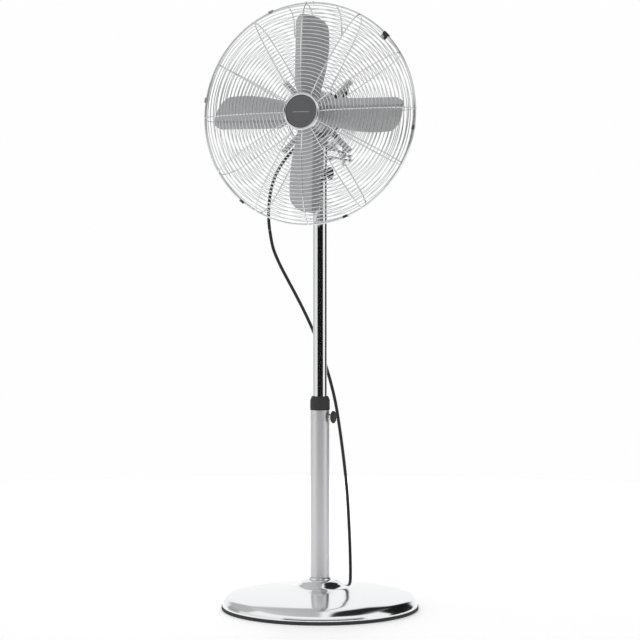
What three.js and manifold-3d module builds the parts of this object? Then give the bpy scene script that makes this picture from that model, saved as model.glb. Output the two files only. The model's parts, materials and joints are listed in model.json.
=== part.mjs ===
// A chromed pedestal fan: round weighted foot, telescopic column, tilting neck, oscillating
// motor head and a caged four-blade rotor. Millimetres, +Z up, the head faces -Y, and the
// origin is the middle of the foot's underside.
import * as THREE from 'three';
import { mergeVertices } from 'three/addons/utils/BufferGeometryUtils.js';
import Module from 'manifold-3d';

// ---- driving dimensions -----------------------------------------------------------------
const GAP = 0.3;                  // clearance between touching pieces
const FOOT_R = 200;               // foot radius
const TRIM_TOP = 7;               // height of the rubber edge
const BOSS_TOP = 60;              // top of the foot's raised middle
const LOWER_R = 19;               // lower tube radius
const UPPER_R = 14;               // upper tube radius
const WALL = 1.4;                 // tube wall
const LOWER_BOTTOM = 64.3;
const LOWER_TOP = 404;
const COLLAR_TOP = 432;
const LOCK_Z = 390;               // height of the column's lock knob
const KNOB_R = 12.4;
const UPPER_BOTTOM = 335;
const UPPER_TOP = 850;
const TILT_Z = 881.5;             // height of the tilt pivot
const HEAD_TILT = 3.58;           // degrees the head leans back; heights from here on are with it level
const NECK_TOP = 918.4;           // where the head turns on the neck
const AXIS_Z = 993.4;             // height of the fan's own axis
const RIM_Y = -77;                // joint plane of the cage
const RIM_R = 220;                // cage rim, wire centre
const RIM_WIRE = 2;
const WIRE = 1.6;                 // half width of the cage's wires
const SPOKES = 12;
const FRONT_TURN = 1.7;           // degrees the spokes of each half stand off the level
const REAR_TURN = 2.7;
const CAGE_FRONT = -113;          // centre plate of the front grille
const FRONT_BOWL = 42;            // depth of each half from its rim
const REAR_BOWL = 48;
const REAR_OPENING = 62;          // inner radius of the rear grille
const MOTOR_R = 55;
const MOTOR_FRONT = -22;
const MOTOR_BACK = 110;
const BLADES = 4;
const BLADE_TIP = 198;
const BLADE_ROOT = 24.4;
const BLADE_Y = -84;              // the blade's forward crease
const WORM_X = 22;                // offset of the worm wheel from the shaft
const WORM_Y = 80;
const CRANK = 14;                 // throw of the oscillation crank
const SWITCH_Z = -24;             // speed switch and knob, below the shaft
const CLIPS = 5;
const CLIP_STEP = 60;             // degrees round the rim
const CLIP_START = -8;
const CLIP_SCREW_ANGLE = 44;
const CLIP_SCREW_IN = 7;          // how far the screw sits inside the rim
const CORD_R = 3.25;
const CORD_TURN = 18.6;           // the spare cord lies behind the foot, turned this many degrees
const HANK = { left: -47, right: 31, middle: 243, outer: 31.5, inner: 17.5, height: 6.6 };

// ---- solids: closed meshes in, joined and cut, closed meshes out ---------------------------
const wasm = await Module();
wasm.setup();

function solid(geometry) {
  const flat = geometry.index ? geometry.toNonIndexed() : geometry;
  const bare = new THREE.BufferGeometry().setAttribute('position', flat.getAttribute('position'));
  const merged = mergeVertices(bare, 1e-4);
  const corners = merged.index.array;
  const faces = [];
  for (let i = 0; i < corners.length; i += 3) {
    const [a, b, c] = [corners[i], corners[i + 1], corners[i + 2]];
    if (a !== b && b !== c && c !== a) faces.push([a, b, c]);
  }
  const build = (triangles) => new wasm.Manifold(new wasm.Mesh({
    numProp: 3,
    vertProperties: merged.attributes.position.array,
    triVerts: new Uint32Array(triangles.flat()),
  }));
  const made = build(faces);
  return made.volume() > 0 ? made : build(faces.map(([a, b, c]) => [a, c, b]));
}

function join(...pieces) {
  return pieces.reduce((whole, piece) => whole.add(piece));
}

function cut(whole, ...tools) {
  return tools.reduce((left, tool) => left.subtract(tool), whole);
}

function geometryOf(made) {
  const mesh = made.getMesh();
  const geometry = new THREE.BufferGeometry();
  geometry.setAttribute('position', new THREE.BufferAttribute(mesh.vertProperties, 3));
  geometry.setIndex(new THREE.BufferAttribute(mesh.triVerts, 1));
  geometry.computeVertexNormals();
  return geometry;
}

// A profile of [radius, height] points turned about the Y axis, then laid along another axis.
function turned(profile, axis = 'z', sides = 16) {
  const closed = profile[0][0] === 0 ? profile : [...profile, profile[0]];
  const points = closed.map(([r, h]) => new THREE.Vector2(r, h));
  const lathe = new THREE.LatheGeometry(points, sides);
  if (axis === 'z') lathe.rotateX(Math.PI / 2);
  if (axis === 'x') lathe.rotateZ(-Math.PI / 2);
  return solid(lathe);
}

const disc = (r, low, high, axis, sides) =>
  turned([[0, low], [r, low], [r, high], [0, high]], axis, sides);

const ring = (inner, outer, low, high, axis, sides) =>
  turned([[inner, low], [outer, low], [outer, high], [inner, high]], axis, sides);

function block([x0, x1], [y0, y1], [z0, z1]) {
  const box = new THREE.BoxGeometry(x1 - x0, y1 - y0, z1 - z0);
  return solid(box.translate((x0 + x1) / 2, (y0 + y1) / 2, (z0 + z1) / 2));
}

// A round or flat bar swept along a list of points.
function swept(points, halfWidth, sides, steps) {
  const section = new THREE.Shape();
  for (let i = 0; i < sides; i += 1) {
    const angle = (i + 0.5) * 2 * Math.PI / sides;
    const [x, y] = [halfWidth * Math.cos(angle), halfWidth * Math.sin(angle)];
    if (i === 0) section.moveTo(x, y);
    else section.lineTo(x, y);
  }
  const path = new THREE.CatmullRomCurve3(points.map((p) => new THREE.Vector3(...p)));
  return solid(new THREE.ExtrudeGeometry(section, { steps, extrudePath: path, curveSegments: 1 }));
}

// Turned about the Y axis, from +X towards +Z.
const turnedTo = (made, degrees) => made.rotate([0, -degrees, 0]);

// A hoop of wire about the Y axis.
function hoop(radius, y, half, around, sides = 4) {
  const torus = new THREE.TorusGeometry(radius, half, sides, around);
  return solid(torus.rotateX(Math.PI / 2).translate(0, y, 0));
}

const finish = (color, roughness, metalness) =>
  new THREE.MeshStandardMaterial({ color, roughness, metalness });
const chrome = finish(0xd8dadc, 0.08, 1);
const satin = finish(0xb4b6b8, 0.35, 1);
const steel = finish(0x9a9c9e, 0.4, 1);
const iron = finish(0x3a3a3c, 0.7, 0.6);
const black = finish(0x151516, 0.5, 0);
const rubber = finish(0x0c0c0c, 0.8, 0);
const brass = finish(0xb08d4a, 0.35, 1);
const copper = finish(0xa0603a, 0.45, 0.8);
const bladeGrey = finish(0x8c8e90, 0.4, 0.8);
const badgeGrey = finish(0x55575a, 0.4, 0.9);

function place(parent, name, material, made) {
  const mesh = new THREE.Mesh(geometryOf(made), material);
  mesh.name = name;
  parent.add(mesh);
  return mesh;
}

const fan = new THREE.Group();

// ---- foot ----------------------------------------------------------------------------------
// Height of the dome's skin: a trumpet-shaped boss running out into a low dome with a rolled edge.
const domeCurve = new THREE.SplineCurve([
  [22, BOSS_TOP], [34, 57.5], [43, 51.5], [51, 46], [64, 43.2], [100, 40], [140, 36.5],
  [170, 32], [184, 28.2], [191, 24], [196, 17], [198, TRIM_TOP + GAP],
].map(([r, z]) => new THREE.Vector2(r, z)));

function foot() {
  const group = new THREE.Group();
  const skin = 1.6;
  const outer = domeCurve.getPoints(9).map((p) => [p.x, p.y]);
  const last = outer.length - 1;
  const inner = outer.map(([r, z], i) => (i < last ? [r - skin / 2, z - skin] : [r - skin, z]));
  const boltHole = 6.3;
  const dome = turned([[boltHole, BOSS_TOP], ...outer, ...inner.reverse(),
    [boltHole, BOSS_TOP - skin]], 'z', 30);
  place(group, 'base_dome', chrome, dome);
  place(group, 'base_edge_trim', rubber, turned([[189, 0], [198, 0], [FOOT_R, 1.5], [FOOT_R, 5.5],
    [198, TRIM_TOP], [189, TRIM_TOP]], 'z', 30));
  place(group, 'base_bottom_plate', black, ring(28, 186.5, 1, 2.4, 'z', 30));
  place(group, 'base_weight', iron, ring(34, 145, 2.7, 13, 'z', 24));
  const head = BOSS_TOP - skin - GAP;
  place(group, 'base_bolt', steel, join(disc(11, head - 9, head - 2, 'z', 6),
    disc(18, head - 2.5, head, 'z', 16), disc(6, head - 1, head + 24, 'z', 16)));
  place(group, 'foot_flange', chrome, turned([[6.3, BOSS_TOP + GAP], [22.3, BOSS_TOP + GAP],
    [22.3, 62.6], [20.6, 64], [6.3, 64]], 'z', 24));
  return group;
}

// ---- lower tube, collar and lock -------------------------------------------------------------
function lowerColumn() {
  const group = new THREE.Group();
  const bore = LOWER_R - WALL;
  const screwHole = disc(4.2, 10, 30, 'x', 16).translate(0, 0, LOCK_Z);
  const tube = ring(bore, LOWER_R, LOWER_BOTTOM, LOWER_TOP, 'z', 24);
  place(group, 'lower_tube', satin, cut(tube, screwHole));
  place(group, 'tube_foot', steel, ring(6.2, bore - GAP, LOWER_BOTTOM + 0.2, 84, 'z', 16));
  place(group, 'guide_bush', black,
    cut(ring(UPPER_R + 0.2, bore - GAP, 352, LOWER_TOP - GAP, 'z', 24), screwHole));
  place(group, 'collar', black, turned([[UPPER_R + GAP, LOWER_TOP + GAP], [19.9, LOWER_TOP + GAP],
    [19.9, 423], [18.6, 426.5], [16.4, COLLAR_TOP], [UPPER_R + GAP, COLLAR_TOP]], 'z', 24));
  place(group, 'lock_boss', chrome, ring(3.3, 6, LOWER_R + GAP, 25, 'x', 14).translate(0, 0, LOCK_Z));
  return group;
}

// A round knob with finger ribs, turned about X from `start` outwards.
function ribbedKnob(start, length, bore) {
  const rounded = [[0, start], [10.6, start], [11.4, start + 0.8], [11.4, start + length - 1.6],
    [9.6, start + length], [0, start + length]];
  const ribs = Array.from({ length: 8 }, (_, i) => {
    const angle = i * Math.PI / 4;
    return disc(1.9, start + 0.6, start + length - 1.2, 'x', 6)
      .translate(0, (KNOB_R - 1.9) * Math.cos(angle), (KNOB_R - 1.9) * Math.sin(angle));
  });
  return cut(join(turned(rounded, 'x', 16), ...ribs), disc(bore, start - 1, start + length - 2, 'x', 16));
}

function lock() {
  const group = new THREE.Group();
  place(group, 'lock_knob', black, ribbedKnob(25.4, 6.9, 3.3));
  place(group, 'lock_screw', steel, disc(3, UPPER_R + GAP, 30, 'x', 14));
  group.position.z = LOCK_Z;
  return group;
}

// ---- upper tube ------------------------------------------------------------------------------
function upperColumn() {
  const group = new THREE.Group();
  place(group, 'upper_tube', chrome, ring(UPPER_R - WALL, UPPER_R, UPPER_BOTTOM, UPPER_TOP, 'z', 24));
  place(group, 'tube_plug', black, join(disc(UPPER_R - WALL - GAP, UPPER_BOTTOM - 1, 350, 'z', 24),
    disc(17.2, UPPER_BOTTOM - 10, UPPER_BOTTOM - GAP, 'z', 24)));
  const shoulder = TILT_Z - 14.5;
  const tongue = join(disc(UPPER_R, -5, 5, 'x', 24).translate(0, 0, TILT_Z),
    block([-5, 5], [-UPPER_R, UPPER_R], [shoulder - 1, TILT_Z]));
  const barrel = disc(UPPER_R, UPPER_TOP + GAP, shoulder, 'z', 24);
  const spigot = disc(UPPER_R - WALL - GAP, 815, UPPER_TOP + 1, 'z', 24);
  const trimmed = tongue.intersect(disc(UPPER_R - 0.2, UPPER_TOP, 920, 'z', 24));
  place(group, 'neck_socket', chrome, cut(join(barrel, spigot, trimmed),
    disc(4.3, -20, 20, 'x', 16).translate(0, 0, TILT_Z)));
  return group;
}

// ---- neck --------------------------------------------------------------------------------------
function neck() {
  const group = new THREE.Group();
  const crown = TILT_Z + 15;
  const upper = disc(UPPER_R, TILT_Z, NECK_TOP, 'z', 24);
  const ears = disc(UPPER_R, TILT_Z - UPPER_R, TILT_Z + 1, 'z', 24)
    .intersect(disc(UPPER_R, -20, 20, 'x', 24).translate(0, 0, TILT_Z));
  const slot = block([-5.4, 5.4], [-20, 20], [TILT_Z - 20, crown]);
  const lugTop = NECK_TOP - 6;
  const lug = join(block([8, WORM_X], [-6, 6], [lugTop - 5, lugTop]),
    disc(6, lugTop - 5, lugTop, 'z', 14).translate(WORM_X, 0, 0),
    disc(3, lugTop - 1, NECK_TOP - 1, 'z', 14).translate(WORM_X, 0, 0));
  const boltHole = disc(4.3, -20, 20, 'x', 16).translate(0, 0, TILT_Z);
  const pinHole = disc(6.1, crown + 1.5, NECK_TOP + 1, 'z', 16);
  place(group, 'neck_arm', chrome, cut(join(cut(join(upper, ears), slot), lug), boltHole, pinHole));
  place(group, 'tilt_bolt', steel, join(disc(4, -15, 24, 'x', 16),
    disc(7, -17.5, -UPPER_R - GAP, 'x', 6)).translate(0, 0, TILT_Z));
  place(group, 'pivot_pin', steel, disc(5.8, crown + 2, AXIS_Z - 57, 'z', 16));
  // The cord leaves a tapered relief that points up and out on the left.
  const relief = turned([[0, -4], [7, -4], [7, 4], [5.4, 5], [4.4, 22], [0, 22]], 'z', 16)
    .subtract(disc(CORD_R + 0.25, 10, 30, 'z', 12))
    .rotate([0, -32, 0]).translate(-10.3, 0, 906.3);
  place(group, 'cord_gland', rubber, cut(relief, disc(UPPER_R + GAP, 880, 950, 'z', 24)));
  return group;
}

function tiltKnob() {
  const group = new THREE.Group();
  place(group, 'tilt_knob', black, ribbedKnob(17.4, 8.6, 4.3));
  group.position.z = TILT_Z;
  return group;
}

function linkRod() {
  const reach = Math.hypot(CRANK, WORM_Y);
  const rod = join(ring(3.3, 6, 0, 3.4, 'z', 14), block([4.5, reach - 4.5], [-3, 3], [0, 3.4]),
    ring(3.3, 6, 0, 3.4, 'z', 14).translate(reach, 0, 0));
  const group = new THREE.Group();
  place(group, 'link_rod', steel, rod);
  group.position.set(WORM_X, 0, NECK_TOP - 5.7);
  group.rotation.z = Math.atan2(WORM_Y, CRANK);
  return group;
}

// ---- motor head: everything below is measured from the fan's axis ------------------------------
// Outer radius of the motor's bell at a distance along the axis.
function bellRadius(y) {
  const shoulder = 62;
  if (y < shoulder) return MOTOR_R;
  const t = (y - shoulder) / (MOTOR_BACK - shoulder);
  return MOTOR_R * Math.sqrt(1 - 0.86 * t * t);
}

function motor() {
  const group = new THREE.Group();
  const split = 20;
  const skin = 2;
  const shaftHole = 9.4;
  const bell = [62, 78, 92, 103, MOTOR_BACK].map((y) => [bellRadius(y), y]);
  const bellInside = bell.map(([r, y]) => [r - skin, Math.min(y, MOTOR_BACK - skin)]).reverse();
  const rearShell = turned([[MOTOR_R, split + GAP], ...bell, [shaftHole, MOTOR_BACK],
    [shaftHole, MOTOR_BACK - skin], ...bellInside, [MOTOR_R - skin, split + GAP]], 'y', 28);
  const spindle = [WORM_X, WORM_Y, 0];
  const spindleHole = disc(3.6, -80, 80, 'z', 14).translate(...spindle);
  place(group, 'motor_rear_shell', chrome, cut(rearShell, spindleHole,
    disc(3.6, 90, 120, 'y', 12).translate(0, 0, SWITCH_Z)));
  place(group, 'motor_front_shell', chrome, turned([[shaftHole, MOTOR_FRONT], [46, MOTOR_FRONT],
    [52, MOTOR_FRONT + 2], [MOTOR_R, MOTOR_FRONT + 7], [MOTOR_R, split], [MOTOR_R - skin, split],
    [MOTOR_R - skin, MOTOR_FRONT + 8], [50, MOTOR_FRONT + skin + 1.5],
    [shaftHole, MOTOR_FRONT + skin]], 'y', 28));
  place(group, 'stator', copper, ring(21.5, 48, -4, 44, 'y', 24));
  for (const [name, y] of [['front_bearing', MOTOR_FRONT], ['rear_bearing', MOTOR_BACK - 12]]) {
    place(group, name, brass, ring(4.4, 9, y + 0.2, y + 8, 'y', 16));
  }
  place(group, 'capacitor', black, disc(8, 50, 68, 'y', 14).translate(-34, 0, 0));
  place(group, 'speed_switch', black, cut(block([-13, 13], [84, 96], [SWITCH_Z - 10, SWITCH_Z + 10]),
    disc(3.4, 80, 100, 'y', 12).translate(0, 0, SWITCH_Z)));
  return group;
}

// The casting under the motor: a stem on the neck, a saddle for the motor and an arm to the crank.
function motorBase() {
  const low = NECK_TOP + GAP - AXIS_Z;
  const saddle = join(block([-20, 20], [-12, 46], [-57, -46]), disc(UPPER_R, low, -46, 'z', 24));
  const arm = join(block([6, 28], [8, WORM_Y], [-66, -61]), block([6, 24], [8, 40], [-62, -54]),
    disc(11, -66, -61, 'z', 16).translate(WORM_X - 5, WORM_Y, 0));
  const casing = disc(MOTOR_R + GAP, -40, 120, 'y', 28);
  const pinHole = disc(6.1, -90, -55, 'z', 16);
  const spindleHole = disc(3.6, -90, -40, 'z', 14).translate(WORM_X, WORM_Y, 0);
  return cut(join(saddle, arm), casing, pinHole, spindleHole);
}

// Four ribbed straps that hold the rear grille on the motor.
function guardBracket() {
  const straps = [45, 135, 225, 315].map((angle) => join(
    block([40, 100], [-24.4, -22.6], [-6, 6]), block([42, 97], [-25, -24], [-2.4, 2.4]),
  ).rotate([0, angle, 0]));
  return join(ring(24, 46, -27, MOTOR_FRONT - GAP, 'y', 24), ...straps);
}

// Where the cage's skin lies at a radius: the front is a bowl, dished in behind the badge; the
// rear is a flat pan with a tight rim.
function frontSkin(r) {
  const dish = 9 * Math.max(0, 1 - (r - 34) / 40);
  return RIM_Y - 2 - FRONT_BOWL * (1 - (r / RIM_R) ** 4.5) ** 0.55 + dish;
}
const rearSkin = (r) => RIM_Y + 2 + REAR_BOWL * (1 - (r / RIM_R) ** 9) ** 0.45;

// One half of the cage: rim, hoops and spokes, joined to one wire piece.
function grille(skin, hoops, inner, rimY, turn) {
  const wires = [hoop(RIM_R, rimY, RIM_WIRE - 0.15, 36)];
  for (const r of hoops) wires.push(hoop(r, skin(r), WIRE, 24));
  const radii = [0, 0.4, 0.7, 0.88, 0.96, 1].map((t) => inner + t * (RIM_R - inner));
  for (let i = 0; i < SPOKES; i += 1) {
    const route = radii.map((r) => [r, skin(r), 0]);
    wires.push(turnedTo(swept(route, WIRE, 4, 8), turn + i * 360 / SPOKES));
  }
  return join(...wires);
}

function cage() {
  const group = new THREE.Group();
  const rear = grille(rearSkin, [REAR_OPENING, 135], REAR_OPENING, RIM_Y + RIM_WIRE, REAR_TURN);
  place(group, 'rear_grille', chrome, rear);
  const front = grille(frontSkin, [85, 150], 34, RIM_Y - RIM_WIRE, FRONT_TURN);
  place(group, 'front_grille', chrome, join(front, disc(37, CAGE_FRONT - 1, CAGE_FRONT + 1.2, 'y', 24)));
  place(group, 'guard_bracket', chrome, guardBracket());
  const face = CAGE_FRONT - 1 - GAP;
  place(group, 'badge_bezel', chrome, turned([[32.4, face], [38, face], [38, face - 6],
    [36, face - 9], [33.2, face - 9], [32.4, face - 8]], 'y', 28));
  place(group, 'badge', badgeGrey, disc(32, face - 7, face, 'y', 24));
  return group;
}

// A sprung clip, drawn on the +X side of the cage. It curls round the rear rim, where it turns,
// and its front leg hooks over the front rim.
function clip(width) {
  const [inside, outside, front, tip] = [2.3, 3.7, -5.7, -2.4];
  const curl = 110 * Math.PI / 180;
  const section = new THREE.Shape();
  section.moveTo(tip, front);
  section.lineTo(outside, front);
  section.lineTo(outside, RIM_WIRE);
  section.absarc(0, RIM_WIRE, outside, 0, curl, false);
  section.absarc(0, RIM_WIRE, inside, curl, 0, true);
  section.lineTo(inside, front + outside - inside);
  section.lineTo(tip, front + outside - inside);
  const strip = new THREE.ExtrudeGeometry(section,
    { depth: width, bevelEnabled: false, curveSegments: 6 });
  return solid(strip.translate(RIM_R, RIM_Y, -width / 2));
}

function clips() {
  const group = new THREE.Group();
  for (let i = 0; i < CLIPS; i += 1) {
    place(group, `rim_clip_${i + 1}`, chrome, turnedTo(clip(11), CLIP_START - i * CLIP_STEP));
  }
  const tab = (y) => block([RIM_R - 11, RIM_R - 1], [RIM_Y + y, RIM_Y + y + 1.4], [-4.5, 4.5]);
  const screwHole = disc(2.2, -20, 20, 'y', 12).translate(RIM_R - CLIP_SCREW_IN, RIM_Y, 0);
  const locked = cut(join(clip(12), tab(-5.7), tab(4.3)), screwHole);
  place(group, 'lock_clip', black, turnedTo(locked, CLIP_SCREW_ANGLE));
  return group;
}

function clipScrew() {
  const group = new THREE.Group();
  const screw = join(disc(2, RIM_Y - 7, RIM_Y + 9, 'y', 10),
    disc(3.2, RIM_Y - 8.2, RIM_Y - 6, 'y', 12)).translate(RIM_R - CLIP_SCREW_IN, 0, 0);
  place(group, 'clip_screw', steel, turnedTo(screw, CLIP_SCREW_ANGLE));
  return group;
}

// ---- rotor -------------------------------------------------------------------------------------
// A pressed blade: a straight edge folded back, a flat rake and a bulged, steeper trailing part.
function blade() {
  const across = [0, 0.22, 0.42, 0.62, 0.82, 1];
  const [along, last] = [9, across.length - 1];
  const half = 0.8;
  const [crease, fold] = [-14, 13];
  const span = BLADE_TIP - BLADE_ROOT;
  const lie = (t) => {
    if (t < crease) return BLADE_Y + 0.3 * (crease - t);
    return BLADE_Y + 0.22 * (t - crease) + 0.05 * Math.max(0, t - fold);
  };
  const point = (i, j, side) => {
    const u = i / along;
    const bulge = fold + 25.7 * Math.sin(Math.PI * Math.min(1, 0.1 + 0.6 * u)) ** 1.2;
    const round = Math.sqrt(Math.max(0, 1 - Math.max(0, (u - 0.8) / 0.2) ** 2.4));
    const lead = -12 - 17 * Math.min(1, 5 * u) + 9 * Math.max(0, (u - 0.9) / 0.1) ** 2;
    const trail = lead + 8 + (bulge - lead - 8) * round;
    const t = lead + (trail - lead) * across[j];
    return [t, lie(t) + side * half, BLADE_ROOT + u * span];
  };
  const positions = [];
  const quad = (a, b, c, d) => positions.push(...a, ...b, ...c, ...a, ...c, ...d);
  for (let i = 0; i < along; i += 1) {
    for (let j = 0; j < last; j += 1) {
      for (const side of [1, -1]) {
        const corners = [point(i, j, side), point(i + 1, j, side), point(i + 1, j + 1, side),
          point(i, j + 1, side)];
        quad(...(side > 0 ? corners : corners.reverse()));
      }
    }
    quad(point(i, 0, 1), point(i, 0, -1), point(i + 1, 0, -1), point(i + 1, 0, 1));
    quad(point(i, last, -1), point(i, last, 1), point(i + 1, last, 1), point(i + 1, last, -1));
  }
  for (let j = 0; j < last; j += 1) {
    quad(point(0, j, -1), point(0, j, 1), point(0, j + 1, 1), point(0, j + 1, -1));
    quad(point(along, j, 1), point(along, j, -1), point(along, j + 1, -1), point(along, j + 1, 1));
  }
  const geometry = new THREE.BufferGeometry();
  geometry.setAttribute('position', new THREE.Float32BufferAttribute(positions, 3));
  return solid(geometry);
}

function rotor() {
  const group = new THREE.Group();
  place(group, 'rotor_core', steel, ring(4.2, 20.5, -2, 42, 'y', 16));
  place(group, 'shaft', steel, join(disc(4, -103, 103, 'y', 16), disc(5, 72, 88, 'y', 12)));
  place(group, 'blade_hub', satin, turned([[4.3, -94], [18, -94], [24, -89], [24, -66],
    [10, -62], [4.3, -62]], 'y', 28));
  for (let i = 0; i < BLADES; i += 1) {
    place(group, `blade_${i + 1}`, bladeGrey, turnedTo(blade(), -i * 360 / BLADES));
  }
  place(group, 'blade_nut', chrome, turned([[4.3, -94.3], [11, -94.3], [11, -99], [8, -104],
    [4.3, -105]], 'y', 16));
  return group;
}

function wormWheel() {
  const group = new THREE.Group();
  const crank = join(disc(5.5, -71.4, -67, 'z', 16), block([0, CRANK], [-4, 4], [-71.4, -67]),
    disc(5, -71.4, -67, 'z', 16).translate(CRANK, 0, 0),
    disc(2.8, -76.9, -70, 'z', 12).translate(CRANK, 0, 0));
  place(group, 'worm_wheel', brass,
    join(disc(16.4, -3, 3, 'z', 24), disc(3.2, -71.4, 40, 'z', 14), crank));
  group.position.set(WORM_X, WORM_Y, 0);
  return group;
}

// ---- cord ----------------------------------------------------------------------------------------
// The cord loops out of the relief, hangs behind the column and comes down behind the foot.
const cordUpperRoute = [
  [-22, 2.7, 925], [-27, 3.7, 931.5], [-36, 6.5, 936.5], [-48, 11, 937], [-58, 15.5, 933.5], [-68, 21, 927],
  [-86, 31, 912], [-102, 41, 895], [-115, 48, 876], [-126, 55, 850], [-132, 59, 818], [-133, 60, 792],
  [-131, 60, 768],
];
const cordLowerRoute = [
  [-130.8, 60, 767.4], [-123, 59, 731], [-108, 57, 698], [-90, 56, 666], [-66, 54, 625], [-44, 53, 584],
  [-22, 53, 536], [-5.5, 55, 487], [5, 58, 449], [12, 64, 411], [16.7, 72, 367], [19.5, 84, 319],
  [21, 98, 268], [20.3, 115, 215], [16.3, 137, 156], [11, 160, 100], [5, 181, 55], [0.5, 194, 28],
  [-3.5, 204, 13], [-7, 213, 6], [-11.3, 224, 3.6], [-14.6, 231.5, 3.4],
];

function cordTube(route, steps) {
  return swept(route, CORD_R, 8, steps);
}

// A slab with round ends that stands on the floor.
function racetrack(left, right, radius, height) {
  const outline = new THREE.Shape();
  outline.absarc(right, 0, radius, -Math.PI / 2, Math.PI / 2, false);
  outline.absarc(left, 0, radius, Math.PI / 2, Math.PI * 1.5, false);
  return solid(new THREE.ExtrudeGeometry(outline,
    { depth: height, bevelEnabled: false, curveSegments: 8 }));
}

function cords() {
  const group = new THREE.Group();
  place(group, 'power_cord_upper', black, cordTube(cordUpperRoute, 18));
  place(group, 'power_cord_lower', black, cordTube(cordLowerRoute, 54));
  const spare = new THREE.Group();
  const { left, right, middle, outer, inner, height } = HANK;
  const whole = racetrack(left, right, outer, height);
  const eye = racetrack(left + 6, right - 5, inner, height + 2).translate(0, 2, -1);
  place(spare, 'cord_hank', black, cut(whole, eye).translate(0, middle, 0));
  const plugY = 240;
  const grip = turned([[0, -13], [3.6, -13], [5, 0], [0, 0]], 'x', 12).translate(0, plugY, 5.5);
  const body = block([0, 26], [plugY - 9, plugY + 9], [0.2, 10.8]);
  const pins = [-1, 1].map((side) => disc(2, 25, 41, 'x', 10).translate(0, plugY + side * 6, 5.5));
  place(spare, 'plug', black, join(grip, body, ...pins).translate(-5, 0, 0));
  spare.rotation.z = CORD_TURN * Math.PI / 180;
  group.add(spare);
  return group;
}

// ---- head knobs and the whole ------------------------------------------------------------------
function oscillationKnob() {
  const group = new THREE.Group();
  const knob = turned([[0, 50], [4.6, 50], [4.6, 56], [7.5, 60], [8.2, 67], [6.5, 71], [0, 72]],
    'z', 14);
  place(group, 'oscillation_knob', black, knob.translate(WORM_X, WORM_Y, 0));
  return group;
}

function speedKnob() {
  const group = new THREE.Group();
  const knob = join(disc(13, MOTOR_BACK + 0.8, MOTOR_BACK + 14, 'y', 16),
    disc(3, 86, MOTOR_BACK + 2, 'y', 12));
  place(group, 'speed_knob', black, knob.translate(0, 0, SWITCH_Z));
  return group;
}

const head = new THREE.Group();
head.position.z = AXIS_Z;
place(head, 'motor_base', chrome, motorBase());
head.add(motor(), cage(), clips(), clipScrew(), rotor(), wormWheel(), oscillationKnob(),
  speedKnob());

// The neck and all it carries lean back about the tilt bolt.
const leaning = new THREE.Group();
const level = new THREE.Group();
leaning.position.z = TILT_Z;
leaning.rotation.x = -HEAD_TILT * Math.PI / 180;
level.position.z = -TILT_Z;
level.add(neck(), tiltKnob(), linkRod(), head);
leaning.add(level);

fan.add(foot(), lowerColumn(), lock(), upperColumn(), cords(), leaning);

export default fan;
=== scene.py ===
import json
import math

import bmesh
import bpy
from mathutils import Matrix, Vector


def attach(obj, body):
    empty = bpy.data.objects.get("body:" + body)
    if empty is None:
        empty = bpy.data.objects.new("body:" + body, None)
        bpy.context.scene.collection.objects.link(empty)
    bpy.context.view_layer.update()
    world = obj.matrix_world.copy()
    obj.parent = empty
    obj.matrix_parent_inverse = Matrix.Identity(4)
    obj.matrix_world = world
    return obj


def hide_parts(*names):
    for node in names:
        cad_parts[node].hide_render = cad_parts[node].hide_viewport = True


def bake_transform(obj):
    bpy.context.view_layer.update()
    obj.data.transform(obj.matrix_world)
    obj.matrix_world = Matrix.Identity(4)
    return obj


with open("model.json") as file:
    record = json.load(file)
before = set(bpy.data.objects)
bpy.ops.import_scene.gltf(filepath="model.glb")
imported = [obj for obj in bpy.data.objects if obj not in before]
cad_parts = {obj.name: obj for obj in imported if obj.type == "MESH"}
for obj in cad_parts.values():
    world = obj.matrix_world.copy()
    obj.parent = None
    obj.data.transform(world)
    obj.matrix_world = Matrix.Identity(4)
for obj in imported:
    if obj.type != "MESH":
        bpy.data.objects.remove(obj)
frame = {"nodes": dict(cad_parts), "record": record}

bl_info = {
    "name": "Pedestal fan",
    "version": (1, 0, 0),
    "blender": (4, 5, 0),
    "location": "3D view > Sidebar > Fan",
    "description": "Builds the visible pieces of a chromed pedestal fan round its packed frame",
    "category": "Object",
}

# ---- the fan's own measures, in millimetres, as the frame has them -------------------------
MM = 0.001
TILT_Z = 881.5
HEAD_TILT = 3.58
NECK_TOP = 918.4
AXIS_Z = 993.4
RIM_Y = -77.0
RIM_R = 220.0
RIM_WIRE = 2.0
CAGE_FRONT = -113.0
FRONT_BOWL = 42.0
REAR_BOWL = 48.0
FRONT_TURN = 1.67
REAR_TURN = 2.7
SPOKES = 12
REAR_OPENING = 62.0
GAP = 0.3
UPPER_R = 14.0
LOWER_R = 19.0
LOCK_Z = 390.0
MOTOR_R = 55.0
MOTOR_BACK = 110.0
WORM_X, WORM_Y = 22.0, 80.0
SWITCH_Z = -24.0
BLADES = 4
BLADE_TIP = 198.0
BLADE_ROOT = 24.4
BLADE_Y = -84.0
CLIPS, CLIP_STEP, CLIP_START, CLIP_SCREW_ANGLE, CLIP_SCREW_IN = 5, 60.0, -8.0, 44.0, 7.0
CORD_TURN = 18.6
RING_PITCH = 7.35
STRAP_FROM, STRAP_TO, STRAP_SCREW_R = 40, 100, 56
STRAP_ANGLES = (45, 135, 225, 315)
BEAD_ANGLES = (92.4, 88.3)
BADGE_R = 34
SLOTS = 18

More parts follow.
